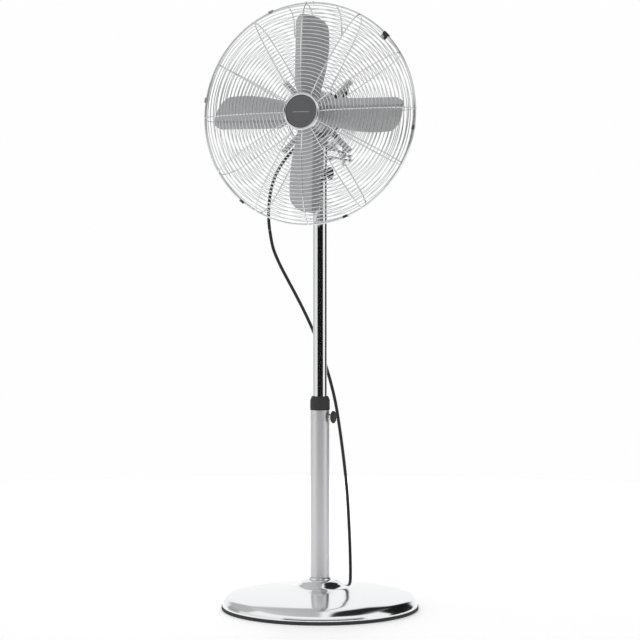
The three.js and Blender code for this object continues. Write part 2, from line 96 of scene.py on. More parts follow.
FOOT_PROFILE = [(22, 60), (34, 57.5), (43, 51.5), (51, 46), (64, 43.2), (100, 40), (140, 36.5),
                (170, 32), (184, 28.2), (191, 24), (196, 17), (198, 11), (198.4, 7.3)]
CORD_UPPER = [(-22, 2.7, 925), (-27, 3.7, 931.5), (-36, 6.5, 936.5), (-48, 11, 937),
              (-58, 15.5, 933.5), (-68, 21, 927), (-86, 31, 912), (-102, 41, 895), (-115, 48, 876),
              (-126, 55, 850), (-132, 59, 818), (-133, 60, 792), (-131, 60, 768)]
CORD_LOWER = [(-130.8, 60, 767.4), (-123, 59, 731), (-108, 57, 698), (-90, 56, 666),
              (-66, 54, 625), (-44, 53, 584), (-22, 53, 536), (-5.5, 55, 487), (5, 58, 449),
              (12, 64, 411), (16.7, 72, 367), (19.5, 84, 319), (21, 98, 268), (20.3, 115, 215),
              (16.3, 137, 156), (11, 160, 100), (5, 181, 55), (0.5, 194, 28), (-3.5, 204, 13),
              (-7, 213, 6), (-11.3, 224, 3.9)]

# ---- camera and light ----------------------------------------------------------------------
CAMERA_AZIMUTH = math.radians(19.18)
CAMERA_PITCH = math.radians(2.277)
CAMERA_DISTANCE = 4.369
CAMERA_HEIGHT = 0.75965
CAMERA_LENS = 121.68
FLOOR_R = 2400
BACKDROP_R = 20000


def leaning():
    """The neck and all above it lean back about the tilt bolt."""
    pivot = Matrix.Translation((0, 0, TILT_Z))
    return pivot @ Matrix.Rotation(-math.radians(HEAD_TILT), 4, "X") @ pivot.inverted()


NECK = leaning()
HEAD = NECK @ Matrix.Translation((0, 0, AXIS_Z))


class FanSizes(bpy.types.PropertyGroup):
    """Sizes of the visible pieces that the frame leaves open"""
    ring_wire: bpy.props.FloatProperty(
        name="Ring wire", description="Diameter of the cage's rings", default=0.0017, min=0.001,
        max=0.004, unit="LENGTH", precision=4)
    spoke_wire: bpy.props.FloatProperty(
        name="Spoke wire", description="Diameter of the cage's spokes", default=0.0025, min=0.001,
        max=0.005, unit="LENGTH", precision=4)
    front_rings: bpy.props.IntProperty(
        name="Front rings", description="Rings between the badge and the rim", default=24, min=4,
        max=40)
    rear_rings: bpy.props.IntProperty(
        name="Rear rings", description="Rings between the opening and the rim", default=21, min=4,
        max=40)
    cord: bpy.props.FloatProperty(
        name="Cord", description="Diameter of the mains cord", default=0.0065, min=0.004,
        max=0.01, unit="LENGTH", precision=4)
    edge: bpy.props.FloatProperty(
        name="Edge", description="Width of the softened edges", default=0.0005, min=0.0001,
        max=0.002, unit="LENGTH", precision=4)


def colour(title, use, value):
    return bpy.props.FloatVectorProperty(name=title, description=use, default=value, min=0, max=1,
                                         size=3, subtype="COLOR")


class FanColours(bpy.types.PropertyGroup):
    """Colours of the fan's finishes"""
    chrome: colour("Chrome", "Polished plating", (0.94, 0.942, 0.945))
    tube: colour("Tube", "Brushed lower tube", (0.84, 0.84, 0.842))
    steel: colour("Steel", "Pins, screws and link", (0.52, 0.53, 0.54))
    blade: colour("Blades", "Satin pressed blades", (0.88, 0.88, 0.882))
    badge: colour("Badge", "Brushed disc on the cage", (0.13, 0.13, 0.135))
    plastic: colour("Plastic", "Knobs, collar and plug", (0.003, 0.003, 0.0033))
    rubber: colour("Rubber", "Edge of the foot", (0.006, 0.006, 0.006))
    cord: colour("Cord", "Sheath of the mains cord", (0.006, 0.006, 0.006))
    iron: colour("Iron", "Weight in the foot", (0.08, 0.08, 0.085))
    copper: colour("Copper", "Windings of the motor", (0.45, 0.2, 0.1))
    brass: colour("Brass", "Bearings and worm wheel", (0.55, 0.38, 0.15))


# ---- finishes ------------------------------------------------------------------------------
def finish(name, base, metallic, rough, grain, stretch=(1, 1, 1), bump=0.05, wave=False,
           tint=0.06, spread=0.03, gloss=0.5):
    """A finish with slight changes of shade and polish, and a fine relief of `grain` per metre."""
    made = bpy.data.materials.get(name)
    if made:
        return made
    made = bpy.data.materials.new(name)
    made.use_nodes = True
    nodes, links = made.node_tree.nodes, made.node_tree.links
    nodes.clear()
    out = nodes.new("ShaderNodeOutputMaterial")
    shader = nodes.new("ShaderNodeBsdfPrincipled")
    shader.inputs["Metallic"].default_value = metallic
    shader.inputs["Specular IOR Level"].default_value = gloss
    where = nodes.new("ShaderNodeTexCoord")
    mapping = nodes.new("ShaderNodeMapping")
    mapping.inputs["Scale"].default_value = stretch
    cloud = nodes.new("ShaderNodeTexNoise")
    cloud.inputs["Scale"].default_value = 24
    cloud.inputs["Detail"].default_value = 4
    shade = nodes.new("ShaderNodeValToRGB")
    shade.color_ramp.elements[0].position = 0.3
    shade.color_ramp.elements[1].position = 0.7
    shade.color_ramp.elements[0].color = (*[c * (1 - tint) for c in base], 1)
    shade.color_ramp.elements[1].color = (*[min(1, c * (1 + tint)) for c in base], 1)
    if wave:
        relief = nodes.new("ShaderNodeTexWave")
        relief.bands_direction = "Z"
        relief.inputs["Distortion"].default_value = 0.6
    else:
        relief = nodes.new("ShaderNodeTexNoise")
        relief.inputs["Detail"].default_value = 3
    relief.inputs["Scale"].default_value = grain
    polish = nodes.new("ShaderNodeMapRange")
    polish.inputs["From Min"].default_value = 0.25
    polish.inputs["From Max"].default_value = 0.75
    polish.inputs["To Min"].default_value = max(0.02, rough - spread)
    polish.inputs["To Max"].default_value = rough + spread
    raised = nodes.new("ShaderNodeBump")
    raised.inputs["Strength"].default_value = bump
    raised.inputs["Distance"].default_value = 0.0002
    links.new(where.outputs["Object"], mapping.inputs["Vector"])
    links.new(where.outputs["Object"], cloud.inputs["Vector"])
    links.new(mapping.outputs["Vector"], relief.inputs["Vector"])
    links.new(cloud.outputs["Fac"], shade.inputs["Fac"])
    links.new(cloud.outputs["Fac"], polish.inputs["Value"])
    links.new(relief.outputs["Fac"], raised.inputs["Height"])
    links.new(shade.outputs["Color"], shader.inputs["Base Color"])
    links.new(polish.outputs["Result"], shader.inputs["Roughness"])
    links.new(raised.outputs["Normal"], shader.inputs["Normal"])
    links.new(shader.outputs["BSDF"], out.inputs["Surface"])
    return made


def material(slot):
    """The finish of one of the record's material slots."""
    c = bpy.context.scene.fan_colours
    recipes = {
        "chrome": (c.chrome, 1, 0.035, 300, (1, 1, 1), 0.003, False, 0.015, 0.01),
        "brushed_tube": (c.tube, 1, 0.33, 900, (1, 1, 0.02), 0.12, False, 0.03, 0.04),
        "steel": (c.steel, 1, 0.32, 900, (1, 1, 1), 0.1, False, 0.08, 0.06),
        "rubber": (c.rubber, 0, 0.6, 1400, (1, 1, 1), 0.25, False, 0.15, 0.08, 0.1),
        "black_plastic": (c.plastic, 0, 0.34, 1600, (1, 1, 1), 0.12, False, 0.15, 0.05, 0.09),
        "iron": (c.iron, 0.4, 0.62, 500, (1, 1, 1), 0.7, False, 0.25, 0.1),
        "copper": (c.copper, 0.8, 0.4, 260, (1, 1, 1), 0.6, True, 0.15, 0.05),
        "brass": (c.brass, 1, 0.28, 700, (1, 1, 1), 0.1, False, 0.08, 0.05),
        "blade_metal": (c.blade, 1, 0.33, 1100, (1, 1, 1), 0.06, False, 0.03, 0.04),
        "badge_metal": (c.badge, 0.9, 0.36, 1400, (0.04, 1, 1), 0.6, False, 0.16, 0.05),
        "cord_black": (c.cord, 0, 0.4, 1500, (1, 1, 1), 0.1, False, 0.15, 0.05, 0.2),
    }
    base, *rest = recipes[slot]
    return finish(slot, tuple(base), *rest)


# ---- making meshes: (points, faces) in millimetres -----------------------------------------
AXES = {"z": lambda a, b, h: (a, b, h), "x": lambda a, b, h: (h, a, b),
        "y": lambda a, b, h: (b, h, a)}


def lathe(profile, axis="z", sides=96, wave=None):
    """A closed profile of (radius, height) turned about an axis; `wave` scales radius by angle."""
    points, faces = [], []
    rings = []
    for r, h in profile:
        if r < 1e-6:
            rings.append([len(points)])
            points.append(AXES[axis](0, 0, h))
            continue
        rings.append(list(range(len(points), len(points) + sides)))
        for k in range(sides):
            angle = 2 * math.pi * k / sides
            scale = wave(angle, r) if wave else 1
            points.append(AXES[axis](r * scale * math.cos(angle), r * scale * math.sin(angle), h))
    closed = profile[0][0] > 1e-6 or profile[-1][0] > 1e-6
    for i in range(len(rings) if closed else len(rings) - 1):
        a, b = rings[i], rings[(i + 1) % len(rings)]
        for k in range(sides):
            n = (k + 1) % sides
            if len(a) == 1 and len(b) == 1:
                break
            if len(a) == 1:
                faces.append((a[0], b[n], b[k]))
            elif len(b) == 1:
                faces.append((a[k], a[n], b[0]))
            else:
                faces.append((a[k], a[n], b[n], b[k]))
    return points, faces


def disc(r, low, high, axis="z", sides=48):
    return lathe([(0, low), (r, low), (r, high), (0, high)], axis, sides)


def ring(inner, outer, low, high, axis="z", sides=96):
    return lathe([(inner, low), (outer, low), (outer, high), (inner, high)], axis, sides)


def block(x, y, z):
    points = [(x[i], y[j], z[k]) for i in (0, 1) for j in (0, 1) for k in (0, 1)]
    return points, [(0, 1, 3, 2), (4, 6, 7, 5), (0, 4, 5, 1), (2, 3, 7, 6), (0, 2, 6, 4),
                    (1, 5, 7, 3)]


def smooth_path(route, per_step):
    """Points along a Catmull-Rom curve through the route."""
    route = [Vector(p) for p in route]
    last = len(route) - 1
    path = []
    for i in range(last):
        p = [route[max(0, i - 1)], route[i], route[i + 1], route[min(last, i + 2)]]
        for s in range(per_step):
            t = s / per_step
            path.append(0.5 * ((2 * p[1]) + (p[2] - p[0]) * t
                               + (2 * p[0] - 5 * p[1] + 4 * p[2] - p[3]) * t * t
                               + (3 * p[1] - p[0] - 3 * p[2] + p[3]) * t ** 3))
    return path + [route[-1]]


def wire(path, radius, sides=8):
    """A round bar along a path, with a frame carried along without twist."""
    path = [Vector(p) for p in path]
    last = len(path) - 1
    tangents = [(path[min(last, i + 1)] - path[max(0, i - 1)]).normalized()
                for i in range(last + 1)]
    side = tangents[0].orthogonal().normalized()
    points, faces = [], []
    for p, t in zip(path, tangents):
        side = (side - t * side.dot(t)).normalized()
        other = t.cross(side)
        for k in range(sides):
            angle = 2 * math.pi * k / sides
            points.append(p + side * (radius * math.cos(angle))
                          + other * (radius * math.sin(angle)))
    for i in range(last):
        a, b = i * sides, (i + 1) * sides
        for k in range(sides):
            n = (k + 1) % sides
            faces.append((a + k, a + n, b + n, b + k))
    faces.append(tuple(reversed(range(sides))))
    faces.append(tuple(last * sides + k for k in range(sides)))
    return points, faces


def hoop(radius, y, half, around=144, sides=8):
    """A ring of wire about the fan's axis."""
    profile = [(radius + half * math.cos(2 * math.pi * k / sides),
                y + half * math.sin(2 * math.pi * k / sides)) for k in range(sides)]
    return lathe(profile, "y", around)


def moved(part, matrix):
    points, faces = part
    return [matrix @ Vector(p) for p in points], faces


def turned_to(part, degrees):
    """Turned about the fan's axis, from +X towards +Z."""
    return moved(part, Matrix.Rotation(-math.radians(degrees), 4, "Y"))


def strip(section, low, high):
    """A closed (x, y) section made into a bar along Z."""
    count = len(section)
    points = [(x, y, low) for x, y in section] + [(x, y, high) for x, y in section]
    faces = [(i, (i + 1) % count, count + (i + 1) % count, count + i) for i in range(count)]
    return points, faces + [tuple(reversed(range(count))), tuple(range(count, 2 * count))]


def joined(*parts):
    points, faces = [], []
    for more, sides in parts:
        start = len(points)
        points.extend(more)
        faces.extend(tuple(start + i for i in face) for face in sides)
    return points, faces


def mesh_object(name, part, place=None):
    points, faces = part
    mesh = bpy.data.meshes.new(name)
    matrix = Matrix.Scale(MM, 4) @ (place or Matrix.Identity(4))
    mesh.from_pydata([matrix @ Vector(p) for p in points], [], faces)
    shape = bmesh.new()
    shape.from_mesh(mesh)
    bmesh.ops.recalc_face_normals(shape, faces=shape.faces)
    shape.to_mesh(mesh)
    shape.free()
    made = bpy.data.objects.new(name, mesh)
    bpy.context.scene.collection.objects.link(made)
    return made


def settle(made):
    """Makes the object's modifiers part of its mesh."""
    graph = bpy.context.evaluated_depsgraph_get()
    mesh = bpy.data.meshes.new_from_object(made.evaluated_get(graph))
    made.modifiers.clear()
    made.data = mesh
    mesh.name = made.name


def carve(made, operation, parts, place=None):
    """Joins parts to the object, or cuts them out of it."""
    for part in parts:
        tool = mesh_object("tool", part, place)
        step = made.modifiers.new("carve", "BOOLEAN")
        step.operation = operation
        step.object = tool
        step.solver = "EXACT"
        settle(made)
        bpy.data.objects.remove(tool)


def soften(made, width, segments=2, angle=40):
    """Bevels the edges that are sharper than `angle` degrees."""
    soft = made.modifiers.new("edge", "BEVEL")
    soft.width = width
    soft.segments = segments
    soft.limit_method = "ANGLE"
    soft.angle_limit = math.radians(angle)
    settle(made)


def part_from(made):
    """The object's shape as a part again, in millimetres, with the object gone."""
    part = ([tuple(v.co / MM) for v in made.data.vertices],
            [tuple(f.vertices) for f in made.data.polygons])
    bpy.data.objects.remove(made)
    return part


def piece(name, part, slot, body, stands_for=(), place=None, edge=None, add=(), cut=(), sharp=32):
    """One visible piece: built, joined, cut, its edges softened, finished and put on its body."""
    made = mesh_object(name, part, place)
    carve(made, "UNION", add, place)
    carve(made, "DIFFERENCE", cut, place)
    if edge:
        soften(made, edge)
    complete(made, slot, sharp)
    if body:
        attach(made, body)
    if stands_for:
        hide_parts(*([stands_for] if isinstance(stands_for, str) else stands_for))
    return made


def complete(made, slot, sharp=32):
    """Even shading, with the large faces kept true, and the slot's finish."""
    made.data.shade_smooth()
    made.data.set_sharp_from_angle(angle=math.radians(sharp))
    if sharp < 50:
        even = made.modifiers.new("even", "WEIGHTED_NORMAL")
        even.keep_sharp = True
        settle(made)
    made.data.materials.clear()
    made.data.materials.append(material(slot))


class Build:
    """What every operator of the fan shares."""
    bl_options = {"REGISTER", "UNDO"}


class FAN_OT_stage(Build, bpy.types.Operator):
    """Camera, floor, backdrop and studio light"""
    bl_idname = "fan.stage"
    bl_label = "Stage"

    def execute(self, context):
        camera = bpy.data.cameras.new("camera")
        camera.lens = CAMERA_LENS
        camera.sensor_width = 36
        camera.clip_end = 60
        eye = bpy.data.objects.new("camera", camera)
        eye.location = (CAMERA_DISTANCE * math.sin(CAMERA_AZIMUTH),
                        -CAMERA_DISTANCE * math.cos(CAMERA_AZIMUTH), CAMERA_HEIGHT)
        eye.rotation_euler = (math.pi / 2 - CAMERA_PITCH, 0, CAMERA_AZIMUTH)
        context.scene.collection.objects.link(eye)
        context.scene.camera = eye
        context.scene.view_settings.view_transform = "Standard"

        floor = mesh_object("floor", disc(FLOOR_R, -6, 0, "z", 128))
        floor.data.materials.append(self.floor_finish())
        dome = self.backdrop()

        away = Vector((-math.sin(CAMERA_AZIMUTH), math.cos(CAMERA_AZIMUTH), 0))
        self.lamp(context, "overhead", Vector((0.2, -0.5, 3.4)), 3.2, 34)
        self.lamp(context, "back", away * 2.6 + Vector((0, 0, 1.25)), 1.8, 30)
        self.world(context)
        return {"FINISHED"}

    def lamp(self, context, name, where, size, power):
        light = bpy.data.lights.new(name, "AREA")
        light.shape = "DISK"
        light.size = size
        light.energy = power
        made = bpy.data.objects.new(name, light)
        made.location = where
        made.rotation_euler = where.to_track_quat("Z", "Y").to_euler()
        made.visible_glossy = False
        context.scene.collection.objects.link(made)

    def floor_finish(self):
        made = bpy.data.materials.new("pale_floor")
        made.use_nodes = True
        shader = made.node_tree.nodes["Principled BSDF"]
        shader.inputs["Base Color"].default_value = (0.9, 0.9, 0.9, 1)
        shader.inputs["Roughness"].default_value = 0.9
        shader.inputs["Emission Color"].default_value = (1, 1, 1, 1)
        shader.inputs["Emission Strength"].default_value = 0.2
        return made

    def backdrop(self):
        """A white shell far round the fan, seen only by the camera itself."""
        profile = [(BACKDROP_R * math.cos(t), BACKDROP_R * math.sin(t))
                   for t in (math.radians(a) for a in range(-80, 81, 10))]
        profile = [(0, -BACKDROP_R), *profile, (0, BACKDROP_R)]
        dome = mesh_object("backdrop", lathe(profile, "z", 48))
        white = bpy.data.materials.new("backdrop")
        white.use_nodes = True
        nodes, links = white.node_tree.nodes, white.node_tree.links
        nodes.clear()
        out = nodes.new("ShaderNodeOutputMaterial")
        glow = nodes.new("ShaderNodeEmission")
        glow.inputs["Color"].default_value = (0.99, 0.99, 0.99, 1)
        links.new(glow.outputs["Emission"], out.inputs["Surface"])
        dome.data.materials.append(white)
        for kind in ("visible_diffuse", "visible_glossy", "visible_transmission",
                     "visible_volume_scatter", "visible_shadow"):
            setattr(dome, kind, False)
        return dome

    def world(self, context):
        """A white studio with dark openings, which chrome needs to show its shape."""
        world = bpy.data.worlds.new("studio")
        context.scene.world = world
        world.use_nodes = True
        nodes, links = world.node_tree.nodes, world.node_tree.links
        nodes.clear()

        def math_node(kind, a, b=None):
            node = nodes.new("ShaderNodeMath")
            node.operation = kind
            for socket, value in zip(node.inputs, (a, b)):
                if value is None:
                    continue
                if isinstance(value, (int, float)):
                    socket.default_value = value
                else:
                    links.new(value, socket)
            return node.outputs[0]

        def ramp(value, stops):
            node = nodes.new("ShaderNodeValToRGB")
            elements = node.color_ramp.elements
            while len(elements) > 1:
                elements.remove(elements[-1])
            elements[0].position = stops[0][0]
            elements[0].color = (*[stops[0][1]] * 3, 1)
            for position, grey in stops[1:]:
                elements.new(position).color = (grey, grey, grey, 1)
            links.new(value, node.inputs["Fac"])
            return node.outputs["Color"]

        def mix(factor, a, b):
            node = nodes.new("ShaderNodeMix")
            node.data_type = "RGBA"
            links.new(factor, node.inputs["Factor"])
            links.new(a, node.inputs[6])
            links.new(b, node.inputs[7])
            return node.outputs[2]

        where = nodes.new("ShaderNodeTexCoord")
        turn = nodes.new("ShaderNodeMapping")
        turn.inputs["Rotation"].default_value = (0, 0, -CAMERA_AZIMUTH)
        links.new(where.outputs["Generated"], turn.inputs["Vector"])
        split = nodes.new("ShaderNodeSeparateXYZ")
        links.new(turn.outputs["Vector"], split.inputs["Vector"])
        right, away, up = split.outputs
        round_about = math_node("ARCTAN2", right, math_node("MULTIPLY", away, -1.0))
        azimuth = math_node("ADD", math_node("DIVIDE", round_about, 2 * math.pi), 0.5)

        def at(degrees):
            return degrees / 360 + 0.5

        walls = ramp(azimuth, [(at(a), g) for a, g in (
            (-180, 1.0), (-141, 0.95), (-136, 0.4), (-112, 0.4), (-107, 0.83), (-46, 0.86),
            (-41, 0.006), (50, 0.006), (55, 1.0), (89, 1.0), (93, 0.006), (138, 0.02), (144, 0.95),
            (180, 1.0))])
        panels = ramp(azimuth, [(at(a), g) for a, g in (
            (-180, 1.0), (-152, 1.0), (-148, 0.5), (-100, 0.5), (-92, 1.0), (86, 1.0), (92, 0.01),
            (148, 0.01), (152, 1.0), (180, 1.0))])
        elevation = math_node("DIVIDE", math_node("ARCSINE", up), math.pi)
        height = math_node("ADD", elevation, 0.5)
        ground = ramp(height, [(0, 0.9), (0.42, 0.9), (0.44, 0.12), (0.49, 0.08), (1, 0.08)])
        ceiling = ramp(math_node("ADD", math_node("MULTIPLY", right, 0.5), 0.5), [
            (0, 0.7), (0.3, 0.55), (0.49, 0.5), (0.52, 1.0), (0.57, 1.0), (0.6, 0.02), (0.8, 0.02),
            (1, 0.6)])
        band = ramp(height, [(at_height(a), g) for a, g in (
            (-90, 0), (10, 0), (20, 1), (90, 1))])
        below = ramp(height, [(at_height(a), g) for a, g in (
            (-90, 1), (-16, 1), (-9, 0), (90, 0))])
        top = ramp(height, [(at_height(a), g) for a, g in (
            (-90, 0), (38, 0), (44, 1), (90, 1))])
        sides = mix(below, mix(band, walls, panels), ground)
        whole = mix(top, sides, ceiling)
        glow = nodes.new("ShaderNodeBackground")
        links.new(whole, glow.inputs["Color"])
        out = nodes.new("ShaderNodeOutputWorld")
        links.new(glow.outputs["Background"], out.inputs["Surface"])


def at_height(degrees):
    """An elevation as a place on a ramp from straight down to straight up."""
    return degrees / 180 + 0.5


# ---- cord ----------------------------------------------------------------------------------
def arc(centre, radius, start, end, count, z):
    return [(centre[0] + radius * math.cos(math.radians(start + (end - start) * i / count)),
             centre[1] + radius * math.sin(math.radians(start + (end - start) * i / count)), z)
            for i in range(count + 1)]


def spare_route():
    """The spare cord: two flat turns side by side behind the foot, its end led to the middle."""
    z = 3.8
    route = [(59.6, 233, z)]
    route += arc((31, 243), 28, 0, 90, 7, z)
    route += [(5, 271, z), (-20, 271, z)]
    route += arc((-47, 243), 28, 90, 270, 12, z)
    route += [(-20, 215, z), (5, 215, z)]
    route += arc((26, 239.75), 24.75, -90, 90, 12, z)
    route += [(2, 264.5, z), (-24, 264.5, z)]
    route += arc((-49, 245), 19.5, 90, 316, 14, z)
    route += arc((-18, 219), 21, 130, 92, 4, z)[1:]
    route[-1] = (*route[-1][:2], 4.8)
    route[-2] = (*route[-2][:2], 4.2)
    route.append((-12, 240, 5.5))
    spin = Matrix.Rotation(math.radians(CORD_TURN), 4, "Z")
    return [tuple(spin @ Vector(p)) for p in route]


class FAN_OT_cords(Build, bpy.types.Operator):
    """The mains cord, its relief, plug and tie"""
    bl_idname = "fan.cords"
    bl_label = "Cord"

    def execute(self, context):
        across = context.scene.fan_sizes.cord / MM
        relief = lathe([(0, -4), (6.4, -4), (7, -3), (7, 3.4), (5.6, 5)] + [
            (5.5 - 0.07 * h - (0.5 if i % 2 else 0), 5 + h) for i, h in enumerate(range(1, 16))]
            + [(4.3, 21), (3.9, 22), (3.3, 22), (3.3, 12), (0, 12)], "z", 40)
        lean = Matrix.Translation((-10.3, 0, 906.3)) @ Matrix.Rotation(math.radians(-32), 4, "Y")
        gland = piece("cord_relief", moved(relief, lean), "rubber", "neck", "cord_gland", NECK,
                      cut=[disc(UPPER_R + GAP, 880, 950, "z", 96)])
        upper = smooth_path(CORD_UPPER, 6)
        top = piece("power_cord_top", wire(upper, across / 2, 16), "cord_black", None,
                    "power_cord_upper", sharp=60)
        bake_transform(top)

        route = CORD_LOWER + spare_route()
        lower = smooth_path(route, 5)
        hanging = piece("power_cord", wire(lower, across / 2, 16), "cord_black", None,
                        ("power_cord_lower", "cord_hank"), sharp=60)
        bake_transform(hanging)
        spin = Matrix.Rotation(math.radians(CORD_TURN), 4, "Z")
        plug = self.plug(spin)
        tie = self.tie(spin)
        return {"FINISHED"}

    def plug(self, spin):
        """A moulded two-pin plug lying on its flat side."""
        grooves = [(3.7 + 0.12 * h - (0.5 if h % 3 == 1 else 0), -18 + h) for h in range(1, 13)]
        grip = moved(lathe([(0, -18), (3.4, -18)] + grooves + [(5.2, -4), (0, -4)], "x", 40),
                     Matrix.Translation((0, 240, 5.5)))
        body = block((-5, 21), (231, 249), (0.2, 10.8))
        made = mesh_object("plug_body", body, spin)
        soften(made, 3.2 * MM, 6, 30)
        pins = [moved(lathe([(0, 20), (2.2, 20), (2.2, 26), (1.95, 26.4), (1.95, 34.6), (1.2, 36),
                             (0, 36)], "x", 24), Matrix.Translation((0, 240 + side * 6, 5.5)))
                for side in (-1, 1)]
        carve(made, "UNION", [grip, *pins], spin)
        complete(made, "black_plastic", 40)
        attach(made, "base")
        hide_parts("plug")
        return made

    def tie(self, spin):
        """A soft strap round the two strands of the spare cord."""
        n = 40
        middle, wide, tall, low = 267.75, 7.1, 3.6, 3.85
        outline = [(middle + wide * math.cos(a) * (abs(math.cos(a)) + 0.2) ** -0.35,
                    low + tall * math.sin(a)) for a in (2 * math.pi * k / n for k in range(n))]
        inner = [(middle + (v - middle) * 0.92, low + (z - low) * 0.9) for v, z in outline]
        points = [(u, v, z) for u in (-8, -2) for v, z in outline + inner]
        faces = []
        for k in range(n):
            m = (k + 1) % n
            faces += [(k, m, 2 * n + m, 2 * n + k), (n + k, 3 * n + k, 3 * n + m, n + m),
                      (k, n + k, n + m, m), (2 * n + k, 2 * n + m, 3 * n + m, 3 * n + k)]
        return piece("cord_tie", (points, faces), "black_plastic", "base", place=spin)


# ---- foot and column -----------------------------------------------------------------------
class FAN_OT_foot(Build, bpy.types.Operator):
    """The foot's dome, its rubber edge and the flange of the column"""
    bl_idname = "fan.foot"
    bl_label = "Foot"

    def execute(self, context):
        skin = [(p.x, p.y) for p in smooth_path([(r, z, 0) for r, z in FOOT_PROFILE], 8)]
        lip_steps = 28
        inside = [(r - 0.8, z - 1.6) for r, z in skin[:-lip_steps]]
        inside += [(189.5, 22.6), (194.2, 16), (196.6, 7.3)]
        dome = [(6.3, 60), (19.5, 60)] + skin + inside[::-1] + [(6.3, 58.4)]
        piece("foot_dome", lathe(dome, "z", 192), "chrome", "base", "base_dome", sharp=50)
        trim = [(189, 0), (197, 0), (198.8, 0.5), (199.8, 1.4), (200, 2.6), (200, 4.6),
                (199.6, 5.9), (198.8, 6.7), (197.6, 7), (189, 7)]
        piece("foot_edge", lathe(trim, "z", 192), "rubber", "base", "base_edge_trim")
        flange = [(6.3, 60.3), (21.9, 60.3), (22.3, 60.7), (22.3, 62.2), (21.7, 63.3), (20.6, 64),
                  (6.3, 64)]
        piece("column_flange", lathe(flange, "z", 96), "chrome", "base", "foot_flange")
        return {"FINISHED"}


def ribbed_knob(start, length, bore):
    """A clamping knob with eight finger ribs, turned about X."""
    tip = start + length
    profile = [(bore, start), (9.6, start), (11.6, start + 0.3), (12.3, start + 1.1),
               (12.4, start + 2), (12.4, tip - 2.2), (12.0, tip - 1.2), (11.0, tip - 0.4),
               (9.6, tip), (8.6, tip), (8.0, tip - 0.5), (0, tip - 0.5), (0, tip - 2),
               (bore, tip - 2)]

    def wave(angle, r):
        if r < 9:
            return 1
        between = 0.5 - 0.5 * math.cos(8 * angle)
        return 1 - 0.13 * between ** 1.5

    return lathe(profile, "x", 128, wave)


class FAN_OT_lower_column(Build, bpy.types.Operator):
    """The brushed lower tube, its collar and the height lock"""
    bl_idname = "fan.lower_column"
    bl_label = "Lower column"

    def execute(self, context):
        edge = context.scene.fan_sizes.edge
        piece("column_lower", ring(LOWER_R - 1.4, LOWER_R, 64.3, 404, "z", 128), "brushed_tube",
              "base", "lower_tube", edge=edge * 0.6, cut=[moved(disc(4.2, 10, 30, "x"),
                                                             Matrix.Translation((0, 0, LOCK_Z)))])
        collar = [(14.3, 404.3), (19.3, 404.3), (19.9, 404.9), (19.9, 406.4), (19.6, 406.8),
                  (19.9, 407.2), (19.9, 422.4), (19.7, 424.2), (18.9, 426.3), (17.6, 429.6),
                  (16.8, 431.4), (16.0, 432), (14.3, 432)]
        piece("column_collar", lathe(collar, "z", 128), "black_plastic", "base", "collar")
        at_lock = Matrix.Translation((0, 0, LOCK_Z))
        boss = [(3.3, 19.3), (6.8, 19.3), (6.8, 20.2), (6, 21), (6, 24.6), (5.6, 25), (3.3, 25)]
        piece("lock_seat", lathe(boss, "x", 64), "chrome", "base", "lock_boss", at_lock)
        piece("height_knob", ribbed_knob(25.4, 6.9, 3.3), "black_plastic", "lock_knob",
              "lock_knob", at_lock)
        return {"FINISHED"}


class FAN_OT_upper_column(Build, bpy.types.Operator):
    """The chromed sliding tube and the socket at its top"""
    bl_idname = "fan.upper_column"
    bl_label = "Upper column"

    def execute(self, context):
        edge = context.scene.fan_sizes.edge
        piece("column_upper", ring(12.6, UPPER_R, 335, 850, "z", 128), "chrome", "column",
              "upper_tube", edge=edge * 0.6)
        shoulder = TILT_Z - 14.5
        barrel = disc(UPPER_R, 850.3, shoulder, "z", 128)
        pivot = Matrix.Translation((0, 0, TILT_Z))
        made = mesh_object("neck_joint", moved(disc(UPPER_R, -5, 5, "x", 96), pivot))
        carve(made, "UNION", [block((-5, 5), (-13.9, 13.9), (shoulder - 1, TILT_Z))])
        carve(made, "INTERSECT", [disc(13.8, 850, 920, "z", 96)])
        tongue = part_from(made)
        piece("neck_socket_top", barrel, "chrome", "column", "neck_socket", edge=edge,
              add=[tongue, disc(12.2, 815, 851, "z", 96)],
              cut=[moved(disc(4.3, -20, 20, "x"), pivot)])
        return {"FINISHED"}


class FAN_OT_neck(Build, bpy.types.Operator):
    """The forked neck and its tilt knob"""
    bl_idname = "fan.neck"
    bl_label = "Neck"

    def execute(self, context):
        edge = context.scene.fan_sizes.edge
        crown = TILT_Z + 15
        lug_top = NECK_TOP - 6
        pivot = Matrix.Translation((0, 0, TILT_Z))
        ears = mesh_object("ears", disc(UPPER_R, TILT_Z - UPPER_R, TILT_Z + 1, "z", 128))
        carve(ears, "INTERSECT", [moved(disc(UPPER_R, -20, 20, "x", 128), pivot)])
        made = mesh_object("neck_fork", disc(UPPER_R, TILT_Z, NECK_TOP, "z", 128), NECK)
        carve(made, "UNION", [part_from(ears)], NECK)
        carve(made, "DIFFERENCE", [block((-5.4, 5.4), (-20, 20), (TILT_Z - 20, crown))], NECK)
        at_lug = Matrix.Translation((WORM_X, 0, 0))
        carve(made, "UNION", [block((8, WORM_X), (-6, 6), (lug_top - 5, lug_top)),
                              moved(disc(6, lug_top - 5, lug_top), at_lug),
                              moved(disc(3, lug_top - 1, NECK_TOP - 1), at_lug)], NECK)
        carve(made, "DIFFERENCE", [moved(disc(4.3, -20, 20, "x"), pivot),
                                   disc(6.1, crown + 1.5, NECK_TOP + 1)], NECK)
        soften(made, edge)
        complete(made, "chrome")
        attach(made, "neck")
        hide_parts("neck_arm")
        piece("tilt_hand_knob", ribbed_knob(17.4, 8.6, 4.3), "black_plastic", "tilt_knob",
              "tilt_knob", NECK @ pivot)
        return {"FINISHED"}


